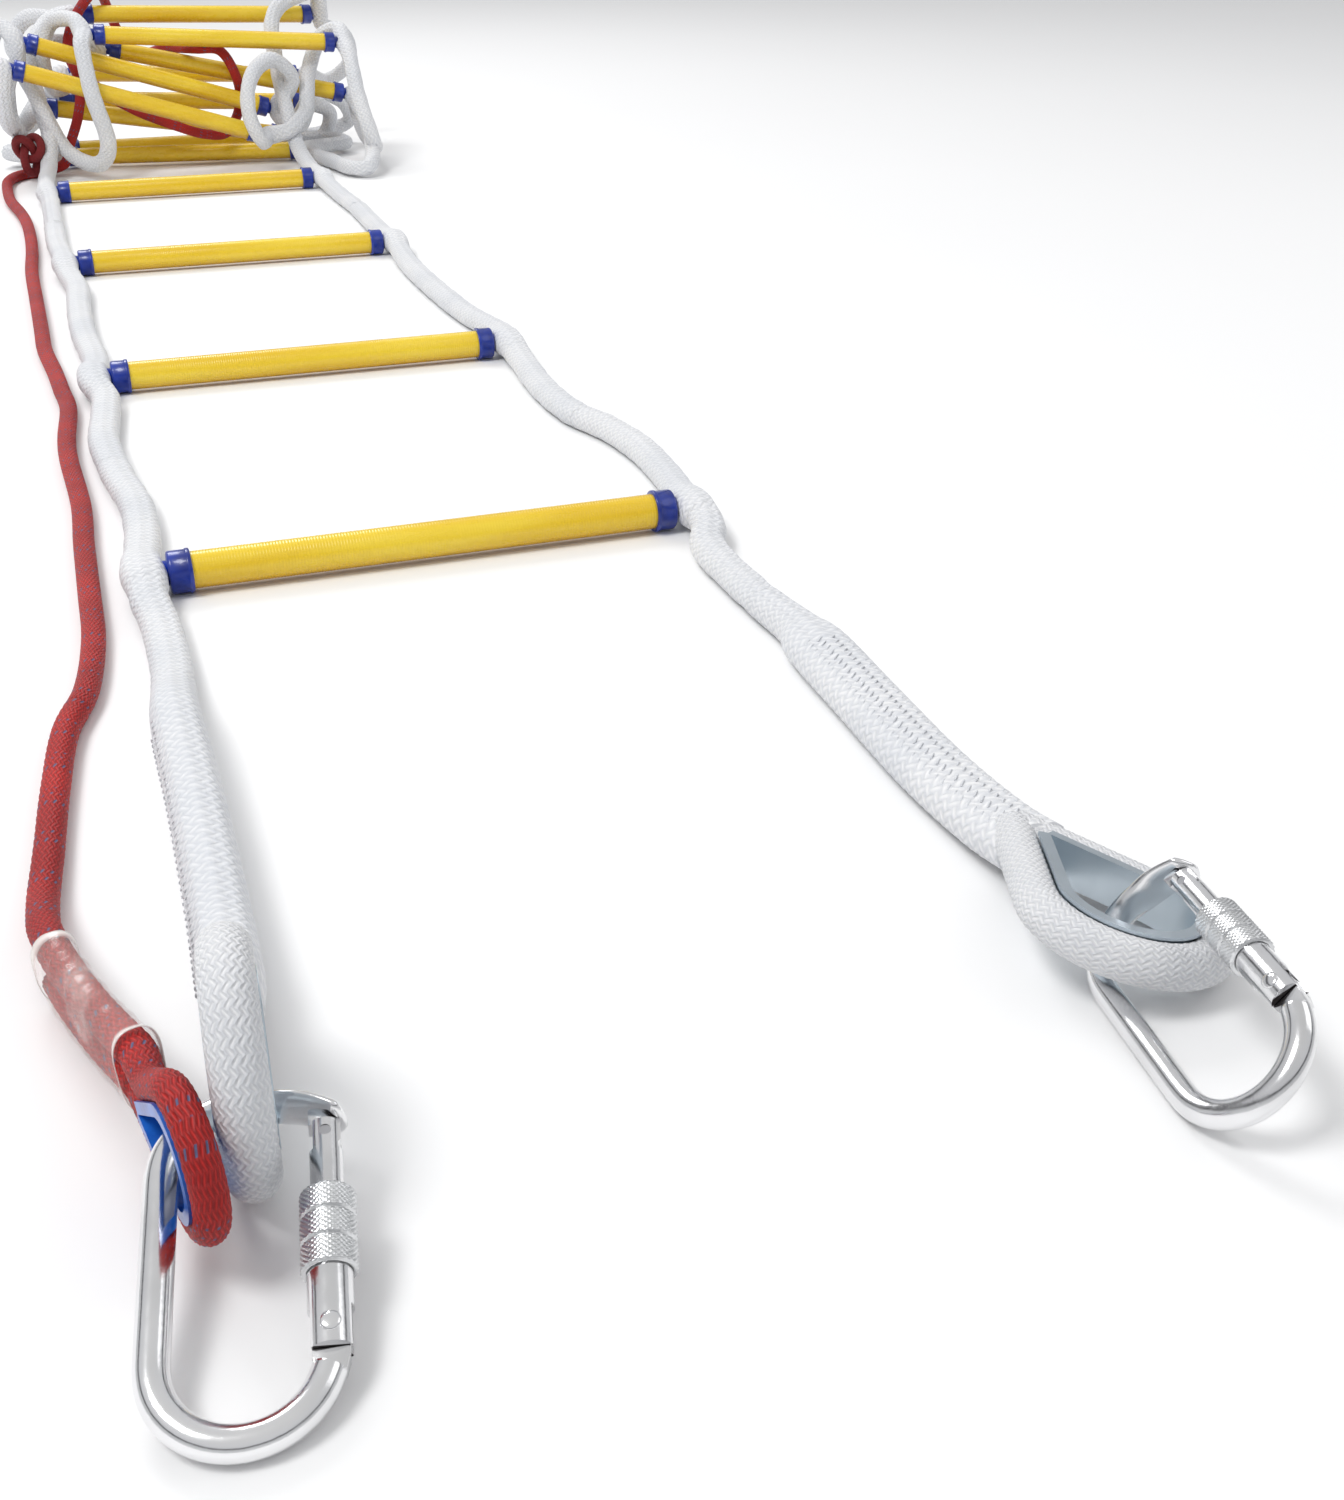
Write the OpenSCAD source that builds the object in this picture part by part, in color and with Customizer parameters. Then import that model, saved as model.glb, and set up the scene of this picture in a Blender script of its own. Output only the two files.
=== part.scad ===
// Escape rope ladder: fourteen tubular rungs in two braided side ropes.
// Four rungs lie laid out along Y, the other ten lie rolled up at the far end.
// Each side rope ends in a sewn tail with an eye round a thimble and a screw-gate hook.
// A red safety rope runs along the left side and ends in its own eye.

/* [Rungs] */
// Distance between the outer faces of the two end caps
rung_span = 254; // [244:1:264]
// Outside diameter of a rung tube
tube_d = 18; // [16:0.5:18]
// Wall of a rung tube
tube_wall = 2.5; // [1.5:0.5:3]
// Outside diameter of an end cap
cap_d = 21.5; // [21:0.1:21.5]
// Length of an end cap along the rung
cap_l = 11; // [9:1:14]
// Diameter of the cap's spigot inside the rope
spigot_d = 12; // [10:0.5:12]

/* [Ropes] */
// Width of the side rope's flat oval
rope_w = 18; // [16:0.5:18.5]
// Thickness of the side rope's flat oval
rope_h = 13; // [12:0.5:13]
// Width of the sewn, doubled tail
tail_w = 28; // [26:0.5:28]
// Diameter of the rope in the white eyes
eye_rope_d = 14.5; // [13.5:0.25:14.5]
// Diameter of the red safety rope
red_d = 10.5; // [9.5:0.5:10.5]

/* [Eyes] */
// Inside radius of the steel thimbles
thimble_r = 20; // [20:0.5:20.5]
// Width of the steel thimbles' channel
thimble_h = 15; // [14:0.5:15]

/* [Hooks] */
// Diameter of the hooks' bar
bar_d = 8.5; // [8:0.1:8.5]
// Outside diameter of the screw sleeve
sleeve_d = 14; // [13:0.5:14]
// Length of the screw sleeve
sleeve_l = 22; // [20:0.5:22]

/* [Hidden] */
$fn = 48;

// The origin is on the floor under the middle of the whole ladder.
home = [-20.8, 10, 0];

// ---- rungs: the four that are laid out, then the ten in the roll ----
// [x, y, z of the middle, turn about Z, tilt that lowers the right end]
cap_r = cap_d / 2;
lie = cap_r;
rung_at = [
    [0, -465, lie, 0, 0],
    [0, -105, lie, 0, 0],
    [0, 265, lie, 0, 0],
    [0, 620, lie, 0, 0],
    [58, 875, 152, 6, 2],
    [40, 925, 85, -3, 2],
    [25, 900, 12, 2, 0],
    [19, 825, 12, -8, 0],
    [77, 815, 97, 0, 12.5],
    [64, 785, 134, 0, 3.5],
    [-10, 790, 98, 0, 17],
    [-28, 755, 76, 0, 17],
    [5, 840, 45, 0, 9],
    [35, 870, 62, 2, 3]];
laid = 4;
rungs = len(rung_at);

spigot_fit = 0.05;
rope_x = rung_span / 2 + 11;
grip_from = rung_span / 2 + 0.3;
grip_to = rope_x + (rope_x - grip_from);
spigot_to = rung_span / 2 + 20;
fold_gap = 1;
rope_start = cap_r + fold_gap;
red_gap = 10.5;

// ---- small vector and route functions ----
function unit(v) = v / norm(v);
function first3(v) = [v[0], v[1], v[2]];
function turn_z(v, a) = [v[0] * cos(a) - v[1] * sin(a), v[0] * sin(a) + v[1] * cos(a), v[2]];
function turn_x(v, a) = [v[0], v[1] * cos(a) - v[2] * sin(a), v[1] * sin(a) + v[2] * cos(a)];
function turn_y(v, a) = [v[0] * cos(a) + v[2] * sin(a), v[1], v[2] * cos(a) - v[0] * sin(a)];
// A pose is [place, yaw, pitch, roll].
function posed_point(v, pose) =
    pose[0] + turn_z(turn_x(turn_y(v, pose[3]), pose[2]), pose[1]);
// A smooth curve through the route's points, with n steps from each point to the next.
function smooth(p, n) = concat(
    [for (i = [0 : len(p) - 2], k = [0 : n - 1])
        let (a = p[max(i - 1, 0)], b = p[i], c = p[i + 1], d = p[min(i + 2, len(p) - 1)], t = k / n)
        0.5 * (2 * b + (c - a) * t + (2 * a - 5 * b + 4 * c - d) * t * t
               + (3 * b - a - 3 * c + d) * t * t * t)],
    [p[len(p) - 1]]);
// Adds one width and height to every point of a route.
function sized(p, w, h) = [for (v = p) [v[0], v[1], v[2], w, h]];
// The rope end of a rung, side -1 left or 1 right.
function rung_end(i, side) =
    let (r = rung_at[i - 1])
    [r[0], r[1], r[2]] + turn_z(turn_y([side * rope_x, 0, 0], r[4]), r[3]);
// An eye's rope: limb, round the thimble, limb. It lies in XY with its throat towards +Y.
function eye_route(r, b, limb, n) = concat(
    [[r * cos(b) - limb * sin(b), r * sin(b) + limb * cos(b), 0]],
    [for (k = [0 : n]) let (a = b - (180 + 2 * b) * k / n) [r * cos(a), r * sin(a), 0]],
    [[limb * sin(b) - r * cos(b), r * sin(b) + limb * cos(b), 0]]);

// Sweeps an oval along points [x, y, z, width, height].
module swept(p, sides = 8, up = [0, 0, 1]) {
    n = len(p);
    q = [for (v = p) first3(v)];
    t = [for (i = [0 : n - 1]) unit(q[min(i + 1, n - 1)] - q[max(i - 1, 0)])];
    ups = [for (i = 0, u = unit(up - (up * t[0]) * t[0]); i < n;
                i = i + 1, u = i < n ? unit(u - (u * t[i]) * t[i]) : u) u];
    ring = [for (i = [0 : n - 1], k = [0 : sides - 1])
        let (a = 360 * (k + 0.5) / sides, s = cross(t[i], ups[i]))
        q[i] + s * (p[i][3] / 2 * cos(a)) + ups[i] * (p[i][4] / 2 * sin(a))];
    ends = [[for (k = [sides - 1 : -1 : 0]) k], [for (k = [0 : sides - 1]) (n - 1) * sides + k]];
    walls = [for (i = [0 : n - 2], k = [0 : sides - 1])
        let (a = i * sides + k, b = i * sides + (k + 1) % sides)
        each [[a, b, a + sides], [b, b + sides, a + sides]]];
    polyhedron(ring, concat(ends, walls), convexity = 8);
}

module posed(pose) {
    translate(pose[0]) rotate([0, 0, pose[1]]) rotate([pose[2], 0, 0]) rotate([0, pose[3], 0])
        children();
}

// ---- rungs and caps ----
module at_rung(i) {
    r = rung_at[i - 1];
    translate([r[0], r[1], r[2]]) rotate([0, 0, r[3]]) rotate([0, r[4], 0]) children();
}

module along_x(d, from, to) {
    translate([from, 0, 0]) rotate([0, 90, 0]) cylinder(d = d, h = to - from);
}

module rung(i) {
    half = rung_span / 2 - tube_wall;
    at_rung(i) difference() {
        along_x(tube_d, -half, half);
        along_x(tube_d - 2 * tube_wall, -half - 1, half + 1);
    }
}

module cap_pair(i) {
    inner = rung_span / 2 - cap_l;
    wall_at = rung_span / 2 - tube_wall;
    at_rung(i) for (m = [0, 1]) mirror([m, 0, 0]) {
        difference() {
            along_x(cap_d, inner, rung_span / 2);
            along_x(tube_d + 2 * spigot_fit, inner - 1, wall_at);
        }
        along_x(spigot_d, rung_span / 2 - 1, spigot_to);
    }
}

// The side rope's round part that holds a cap's spigot.
module grip(i, side) {
    at_rung(i) mirror([side < 0 ? 1 : 0, 0, 0])
        along_x(cap_d, grip_from, grip_to);
}

module grip_bore(i, side) {
    at_rung(i) mirror([side < 0 ? 1 : 0, 0, 0])
        along_x(spigot_d + 2 * spigot_fit, grip_from - 1, spigot_to + 0.3);
}

// ---- side ropes along the three laid-out bays ----
left_bays = [
    [[-134, -145, 8], [-137, -185, 7], [-141, -235, 7], [-138, -300, 7], [-133, -350, 7],
     [-133, -390, 7], [-136, -430, 8.5]],
    [[-137, 230, 8.5], [-133, 181, 7], [-136, 110, 7], [-137, 30, 7], [-134, -40, 7],
     [-135, -75, 8.5]],
    [[-137, 585, 8.5], [-138, 520, 7], [-139, 450, 7], [-140, 370, 7], [-138, 305, 8.5]]];
right_bays = [
    [[137, -145, 8], [132, -215, 7], [134, -271, 7], [144, -309, 7], [149, -354, 7],
     [147, -400, 7], [142, -435, 8.5]],
    [[136, 230, 8.5], [133, 180, 7], [132, 120, 7], [133, 50, 7], [136, -10, 7],
     [143, -70, 8.5]],
    [[138, 585, 8.5], [140, 520, 7], [142, 450, 7], [140, 370, 7], [138, 305, 8.5]]];

// A bay's rope leaves the far rung just clear of its grip and ends in the near rung's grip.
module bay_rope(bay, side) {
    far_y = rung_at[bay][1];
    near_y = rung_at[bay - 1][1];
    middle = side < 0 ? left_bays[bay - 1] : right_bays[bay - 1];
    route = concat(
        [[side * rope_x, far_y - rope_start, lie], [side * rope_x, far_y - rope_start - 8, lie]],
        middle,
        [[side * rope_x, near_y + 12, lie], [side * rope_x, near_y, lie]]);
    difference() {
        union() {
            swept(sized(smooth(route, 2), rope_w, rope_h), 8);
            grip(bay, side);
        }
        grip_bore(bay, side);
    }
}

// ---- tails and white eyes ----
thimble_web = 1.5;
throat_d = 42;
eye_b = asin(thimble_r / throat_d);
eye_r = thimble_r + thimble_web + 0.2 + eye_rope_d / 2;
eye_limb = 42;

left_eye_pose = [[-146.8, -882.2, 36.9], -4, -16.9, 90];
right_eye_pose = [[125.4, -878.3, 14.9], 5, 0.6, 13.3];

left_tail_route = [
    [-138, -465 - rope_start, lie, rope_w, rope_h], [-138, -484, lie, rope_w, rope_h],
    [-138, -497, 9.5, rope_w, rope_h],
    [-136, -520, 7.5, rope_w, rope_h], [-136, -565, 7.5, rope_w, rope_h],
    [-138, -600, 10, rope_w, 18], [-140, -640, 14.2, 20, tail_w],
    [-140, -700, 14.2, 20, tail_w], [-141, -760, 14.2, 20, tail_w],
    [-142, -795, 15.5, 20, tail_w], [-143.5, -834, 21, 20, tail_w]];
right_tail_route = [
    [138, -465 - rope_start, lie, rope_w, rope_h], [138, -484, lie, rope_w, rope_h],
    [135, -497, 9.5, rope_w, rope_h],
    [127, -520, 7.5, rope_w, rope_h], [126, -580, 7.5, rope_w, rope_h],
    [128, -622, 8, 20, 15], [127, -645, 8.8, tail_w, 17],
    [124, -700, 8.8, tail_w, 17], [121, -760, 8.8, tail_w, 17],
    [121, -805, 10.5, tail_w, 17], [122, -829, 13.5, tail_w, 17]];

module tail_rope(route, pose) {
    swept(smooth(route, 2), 8);
    ring = [for (v = eye_route(eye_r, eye_b, eye_limb, 14)) posed_point(v, pose)];
    swept(sized(ring, eye_rope_d, eye_rope_d), 10, posed_point([0, 0, 1], pose) - pose[0]);
}

module channel(r, web, lip, h, wall) {
    polygon([[r, -h / 2], [r + lip, -h / 2], [r + lip, wall - h / 2], [r + web, wall - h / 2],
             [r + web, h / 2 - wall], [r + lip, h / 2 - wall], [r + lip, h / 2], [r, h / 2]]);
}

// A teardrop channel with its point at distance d from the ring's centre, towards +Y.
module thimble(r, d, web, lip, h, wall) {
    b = asin(r / d);
    leg = sqrt(d * d - r * r) + 1;
    rotate([0, 0, 180 - b]) rotate_extrude(angle = 180 + 2 * b, $fn = 72)
        channel(r, web, lip, h, wall);
    for (m = [0, 1]) mirror([m, 0, 0]) rotate([0, 0, b]) translate([0, leg, 0])
        rotate([90, 0, 0]) linear_extrude(leg) channel(r, web, lip, h, wall);
}

module steel_thimble(pose) {
    posed(pose) thimble(thimble_r, throat_d, thimble_web, 4, thimble_h, 1.2);
}

// ---- red safety rope ----
red_z = red_d / 2 + 0.1;
red_bays = [
    [[-158, -105 - red_gap, red_z], [-157, -150, red_z], [-161, -210, red_z], [-162, -255, red_z],
     [-160, -336, red_z], [-162, -398, red_z], [-163, -465 + red_gap, red_z]],
    [[-164, 265 - red_gap, red_z], [-165, 160, red_z], [-165, 64, red_z], [-165, 4, red_z],
     [-161, -60, red_z], [-159, -105 + red_gap, red_z]],
    [[-173, 620 - red_gap, red_z], [-166, 550, red_z], [-162, 490, red_z], [-161, 420, red_z],
     [-162, 350, red_z], [-164, 265 + red_gap, red_z]]];

module red_bay(bay) {
    swept(sized(smooth(red_bays[bay - 1], 2), red_d, red_d), 8);
}

red_eye_d = 9;
red_thimble_r = 12;
red_throat_d = 28;
red_web = 1.3;
red_eye_b = asin(red_thimble_r / red_throat_d);
red_eye_r = red_thimble_r + red_web + 0.2 + red_eye_d / 2;
red_limb = 26;
red_eye_pose = [[-163.2, -905.8, 29.2], 11, -8.9, 90];
strand_gap = 10.9;
sleeve_route = [[-191, -784, 12.4], [-187, -800, 12.6], [-180, -825, 15], [-171, -855, 20.5]];

// The main strand, in along the floor, up into the sleeve, round the eye and back.
module red_tail_rope() {
    half = strand_gap / 2;
    lead = [
        [-164, -465 - red_gap, red_z], [-165, -520, red_z], [-171, -572, red_z],
        [-181, -608, red_z], [-187, -656, red_z], [-191, -700, red_z], [-194, -735, 7],
        [-194, -762, 13]];
    over = [for (v = sleeve_route) v + [0, 0, half]];
    under = [for (k = [len(sleeve_route) - 1 : -1 : 0]) sleeve_route[k] - [0, 0, half]];
    ring = [for (v = eye_route(red_eye_r, red_eye_b, red_limb, 12)) posed_point(v, red_eye_pose)];
    swept(concat(
        sized(smooth(lead, 2), red_d, red_d),
        sized(over, red_d, red_d),
        sized([for (k = [len(ring) - 1 : -1 : 0]) ring[k]], red_eye_d, red_eye_d),
        sized(under, red_d, red_d)), 8);
}

module clear_sleeve() {
    difference() {
        swept(sized(sleeve_route, 13.5, 24.4), 12);
        swept(sized(concat([sleeve_route[0] + [-1, 4, 0]], sleeve_route,
                           [sleeve_route[3] + [1, -4, 1]]), 11.7, 22.6), 12);
    }
}

module red_thimble() {
    posed(red_eye_pose) thimble(red_thimble_r, red_throat_d, red_web, 3.5, 10, 0.9);
}

// ---- hooks, drawn flat with the spine at -X, the gate at +X and the nose at +Y ----
hook_w = 20;
hook_low = -24;
hook_top = 26;
rivet_y = -20;
pin_y = 33.5;
gate_d = 11;
neck_d = 8.4;
gate_low = -25;
shoulder_y = -5.3;
sleeve_y = -5;
neck_y = 37.3;
tongue_h = 5;
slot_h = 5.6;
rivet_d = 3;
pin_d = 3;
bore_d = 5.6;
nose_turn = 48;
bar_stop = 14;

left_hook_pose = [[-155, -932.1, 15.4], -10, 14.4, 2];
right_hook_pose = [[116.6, -925.7, 19.5], -8.5, 0, -48.9];

module arc_bar(at, from, sweep) {
    translate(at) rotate([0, 0, from]) rotate_extrude(angle = sweep)
        translate([hook_w, 0]) circle(d = bar_d);
}

module hook_body() {
    lap = 1;
    translate([-hook_w, hook_low - lap, 0]) rotate([-90, 0, 0])
        cylinder(d = bar_d + 0.1, h = hook_top - hook_low + 2 * lap);
    arc_bar([0, hook_low, 0], 180, 180 - bar_stop);
    arc_bar([0, hook_top, 0], nose_turn, 180 - nose_turn);
    nose();
    difference() {
        union() {
            translate([hook_w, rivet_y, 0]) cylinder(d = 9, h = tongue_h, center = true);
            translate([hook_w - 4.2, -29.5, -tongue_h / 2]) cube([8.2, 9.5, tongue_h]);
        }
        translate([hook_w, rivet_y, 0]) cylinder(d = rivet_d + 0.04, h = 10, center = true);
    }
}

// The flattened nose, and the tongue with the notch that takes the gate's cross pin.
module nose() {
    linear_extrude(12, center = true)
        polygon([[11.5, 39.6], [13, 45.6], [19, 44.6], [27, 41.6], [27.6, 38.2], [24, 38.2],
                 [18, 39]]);
    difference() {
        translate([0, 0, -tongue_h / 2]) linear_extrude(tongue_h)
            polygon([[15.6, 41], [15.6, 36.2], [20, 36.2], [20, 30.4], [24, 30.4], [24, 41]]);
        translate([hook_w, pin_y, 0]) cylinder(d = pin_d + 0.7, h = 10, center = true);
        translate([hook_w - 8, pin_y - 2.1, -5]) cube([8, 4.2, 10]);
    }
}

module hook_rivet() {
    translate([hook_w, rivet_y, 0]) cylinder(d = rivet_d, h = 10.6, center = true);
}

module gate() {
    difference() {
        union() {
            translate([hook_w, gate_low, 0]) rotate([-90, 0, 0])
                cylinder(d = gate_d, h = shoulder_y - gate_low);
            translate([hook_w, shoulder_y - 1, 0]) rotate([-90, 0, 0])
                cylinder(d = neck_d, h = neck_y - shoulder_y + 1);
        }
        translate([hook_w - 8, gate_low - 1, -slot_h / 2]) cube([16, 11.4, slot_h]);
        translate([hook_w - 8, 29, -slot_h / 2]) cube([16, 12, slot_h]);
        translate([hook_w, rivet_y, 0]) cylinder(d = rivet_d + 0.1, h = 20, center = true);
        translate([hook_w, pin_y, 0]) cylinder(d = pin_d + 0.04, h = 20, center = true);
        translate([hook_w, gate_low + 5, 0]) rotate([-90, 0, 0]) cylinder(d = bore_d, h = 28);
    }
}

module gate_pin() {
    translate([hook_w, pin_y, 0]) cylinder(d = pin_d, h = 8, center = true);
}

// The plunger that presses on the tongue, and the spring behind it.
module gate_spring() {
    wire = 0.8;
    coil_r = 2.2;
    turns = 5;
    from_y = -10.8;
    to_y = 7.3;
    translate([hook_w, -15.2, 0]) rotate([-90, 0, 0]) cylinder(d = 4.6, h = 3.6);
    coil = [for (k = [0 : turns * 8]) let (a = 45 * k)
        [hook_w + coil_r * cos(a), from_y + (to_y - from_y) * k / (turns * 8), coil_r * sin(a)]];
    swept(sized(coil, wire, wire), 4, [1, 0, 0]);
}

module screw_sleeve() {
    bands = 3;
    groove = 1;
    pitch = sleeve_l / bands;
    translate([hook_w, sleeve_y, 0]) rotate([-90, 0, 0]) difference() {
        cylinder(d = sleeve_d, h = sleeve_l);
        translate([0, 0, -1]) cylinder(d = neck_d + 0.8, h = sleeve_l + 2);
        for (k = [1 : bands - 1]) translate([0, 0, k * pitch - groove / 2]) difference() {
            cylinder(d = sleeve_d + 2, h = groove);
            cylinder(d = sleeve_d - 0.8, h = groove);
        }
    }
}

// ---- the roll ----
loop_w = 16.5;
loop_h = 15;
// Each row goes from one rung's rope end to the next rung's, through the points between.
left_loops = [
    [[-136, 700, 9], [-130, 752, 16], [-124, 778, 44], [-129, 800, 78], [-130, 830, 118],
     [-106, 858, 150]],
    [[-88, 885, 150], [-125, 915, 150], [-145, 945, 115], [-110, 950, 80]],
    [[-100, 930, 68], [-125, 945, 45], [-150, 935, 25], [-140, 912, 12]],
    [[-116, 878, 14], [-150, 885, 16], [-168, 868, 16], [-145, 848, 14]],
    [[-122, 824, 16], [-142, 795, 34], [-155, 776, 48], [-160, 797, 74], [-150, 824, 106],
     [-112, 852, 128], [-85, 852, 128], [-66, 836, 126]],
    [[-70, 845, 105], [-95, 848, 86], [-112, 826, 88], [-117, 826, 120], [-104, 828, 150],
     [-82, 806, 156]],
    [[-78, 755, 132], [-76, 734, 90], [-67, 730, 40], [-80, 745, 17], [-108, 775, 28],
     [-128, 778, 75], [-142, 785, 112]],
    [[-158, 806, 150], [-172, 798, 118], [-172, 765, 92]],
    [[-164, 742, 92], [-163, 752, 62], [-152, 800, 50]],
    [[-136, 862, 60], [-130, 885, 60], [-112, 885, 75]]];
right_loops = [
    [[138, 690, 9], [134, 745, 24], [130, 775, 60], [128, 800, 104], [132, 838, 142],
     [150, 860, 162], [188, 870, 172]],
    [[200, 905, 135], [228, 915, 120], [232, 930, 90], [205, 940, 70]],
    [[185, 900, 65], [215, 905, 50], [225, 925, 25], [190, 930, 12]],
    [[166, 888, 12], [195, 875, 12], [205, 845, 12], [180, 828, 12]],
    [[154, 785, 10.5], [170, 720, 9.5], [180, 675, 9.5], [198, 668, 12], [212, 720, 28],
     [216, 780, 48]],
    [[217, 836, 60], [220, 810, 30], [218, 740, 22], [210, 702, 34], [203, 728, 75],
     [203, 762, 112]],
    [[200, 805, 138], [182, 822, 128], [162, 800, 95], [152, 775, 60], [140, 770, 42]],
    [[140, 780, 90], [120, 766, 112], [99, 756, 105], [86, 742, 85], [84, 733, 58],
     [94, 731, 34]],
    [[128, 748, 42], [152, 775, 58], [160, 820, 60], [152, 845, 40]],
    [[150, 862, 14], [185, 885, 14], [196, 885, 40]]];

// The route of one loop, from one rung's spigot to the next one's.
function loop_route(i, side) = smooth(concat(
    [rung_end(i, side)], (side < 0 ? left_loops : right_loops)[i - laid],
    [rung_end(i + 1, side)]), 2);

// All of a side rope that is rolled up, with the round parts that hold the spigots.
module roll_rope(side) {
    $fn = 12;
    bore_r = (spigot_d / 2 + 0.2) / cos(15);
    difference() {
        union() {
            for (i = [laid : rungs - 1])
                swept(sized(loop_route(i, side), loop_w, loop_h), 8, [side, 0, 0.2]);
            for (i = [laid : rungs]) grip(i, side);
        }
        for (i = [laid : rungs]) at_rung(i) mirror([side < 0 ? 1 : 0, 0, 0])
            along_x(2 * bore_r, grip_from - 1, spigot_to + 0.3);
    }
}

red_roll_route = [
    [-174, 620 + red_gap, red_z], [-175, 700, red_z], [-172, 742, red_z], [-160, 775, red_z],
    [-135, 792, 6], [-112, 798, 12], [-103, 802, 32], [-92, 810, 54], [-85, 815, 77],
    [-84, 820, 97], [-90, 834, 122], [-80, 838, 150], [-58, 848, 176], [-46, 870, 178],
    [-40, 895, 165], [-30, 905, 135], [-12, 890, 112], [15, 850, 120], [42, 802, 123],
    [68, 800, 120], [82, 799, 93], [84, 812, 62], [66, 800, 36], [40, 790, 36],
    [10, 790, 46], [-26, 795, 61], [-55, 800, 78], [-68, 800, 90]];

module red_roll_rope() {
    swept(sized(smooth(red_roll_route, 2), red_d, red_d), 8);
}

// ---- every node ----
side_names = ["left", "right"];

translate(home) {
    for (i = [1 : rungs])
        color("gold") rung(i);
    for (i = [1 : laid])
        color("mediumblue") cap_pair(i);
    color("mediumblue") for (i = [laid + 1 : rungs]) cap_pair(i);  // roll_caps
    for (i = [1 : laid - 1]) {
        color("white") bay_rope(i, -1);
        color("white") bay_rope(i, 1);
        color("red") red_bay(i);
    }
    color("white") tail_rope(left_tail_route, left_eye_pose);  // left_tail_rope
    color("white") tail_rope(right_tail_route, right_eye_pose);  // right_tail_rope
    color("silver") steel_thimble(left_eye_pose);  // left_thimble
    color("silver") steel_thimble(right_eye_pose);  // right_thimble
    color("white") roll_rope(-1);  // left_roll_rope
    color("white") roll_rope(1);  // right_roll_rope
    color("red") red_roll_rope();
    color("red") red_tail_rope();
    color("royalblue") red_thimble();
    color("mistyrose", 0.6) clear_sleeve();
    for (s = [0, 1]) posed(s == 0 ? left_hook_pose : right_hook_pose) {
        color("silver") hook_body();
        color("gray") hook_rivet();
        color("silver") gate();
        color("gray") gate_pin();
        color("gray") gate_spring();
        color("silver") screw_sleeve();
    }
}
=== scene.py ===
"""Escape rope ladder: braided ropes, ribbed resin rungs, blue caps and polished hooks round the frame."""
import math
import bpy
import numpy as np
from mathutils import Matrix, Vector


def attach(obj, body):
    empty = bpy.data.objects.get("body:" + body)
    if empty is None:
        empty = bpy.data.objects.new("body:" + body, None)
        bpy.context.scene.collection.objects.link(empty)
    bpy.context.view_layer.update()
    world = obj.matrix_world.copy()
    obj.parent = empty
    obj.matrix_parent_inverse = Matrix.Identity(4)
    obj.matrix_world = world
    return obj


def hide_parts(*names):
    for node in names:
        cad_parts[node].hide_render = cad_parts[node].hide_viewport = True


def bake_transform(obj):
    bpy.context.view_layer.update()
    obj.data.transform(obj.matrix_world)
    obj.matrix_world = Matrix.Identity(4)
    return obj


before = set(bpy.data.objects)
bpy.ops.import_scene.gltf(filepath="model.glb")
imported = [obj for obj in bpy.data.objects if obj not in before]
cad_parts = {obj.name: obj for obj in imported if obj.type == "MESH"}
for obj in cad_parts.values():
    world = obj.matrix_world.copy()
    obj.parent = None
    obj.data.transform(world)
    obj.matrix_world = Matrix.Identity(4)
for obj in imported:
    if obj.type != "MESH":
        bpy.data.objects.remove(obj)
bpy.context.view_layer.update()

# ---------------------------------------------------------------- sizes, in millimetres of the ladder
MM = 0.001
HOME = np.array([-20.8, 10.0, 0.0])
RUNG_SPAN, TUBE_D, CAP_D, CAP_L, SPIGOT_D = 254.0, 18.0, 21.5, 11.0, 12.0
ROPE_W, ROPE_H, LOOP_W, LOOP_H, EYE_ROPE_D = 18.0, 13.0, 16.5, 15.0, 14.5
RED_D, RED_EYE_D = 10.5, 9.0
LIE = CAP_D / 2
RED_PITCH, RED_STRANDS = 5.6, 20
EYE_PITCH, EYE_STRANDS = 3.8, 20
ROPE_X = RUNG_SPAN / 2 + 11
LAID = 4

# Each rung's middle, its turn about Z and the tilt that lowers its right end.
RUNG_AT = [
    (0, -465, LIE, 0, 0), (0, -105, LIE, 0, 0), (0, 265, LIE, 0, 0), (0, 620, LIE, 0, 0),
    (58, 875, 152, 6, 2), (40, 925, 85, -3, 2), (25, 900, 12, 2, 0), (19, 825, 12, -8, 0),
    (77, 815, 97, 0, 12.5), (64, 785, 134, 0, 3.5), (-10, 790, 98, 0, 17), (-28, 755, 76, 0, 17),
    (5, 840, 45, 0, 9), (35, 870, 62, 2, 3)]

# The side ropes along each laid bay, from its far rung to its near one.
LEFT_BAYS = [
    [(-134, -145, 8), (-137, -185, 7), (-141, -235, 7), (-138, -300, 7), (-133, -350, 7),
     (-133, -390, 7), (-136, -430, 8.5)],
    [(-137, 230, 8.5), (-133, 181, 7), (-136, 110, 7), (-137, 30, 7), (-134, -40, 7),
     (-135, -75, 8.5)],
    [(-137, 585, 8.5), (-138, 520, 7), (-139, 450, 7), (-140, 370, 7), (-138, 305, 8.5)]]
RIGHT_BAYS = [
    [(137, -145, 8), (132, -215, 7), (134, -271, 7), (144, -309, 7), (149, -354, 7),
     (147, -400, 7), (142, -435, 8.5)],
    [(136, 230, 8.5), (133, 180, 7), (132, 120, 7), (133, 50, 7), (136, -10, 7),
     (143, -70, 8.5)],
    [(138, 585, 8.5), (140, 520, 7), (142, 450, 7), (140, 370, 7), (138, 305, 8.5)]]

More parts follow.
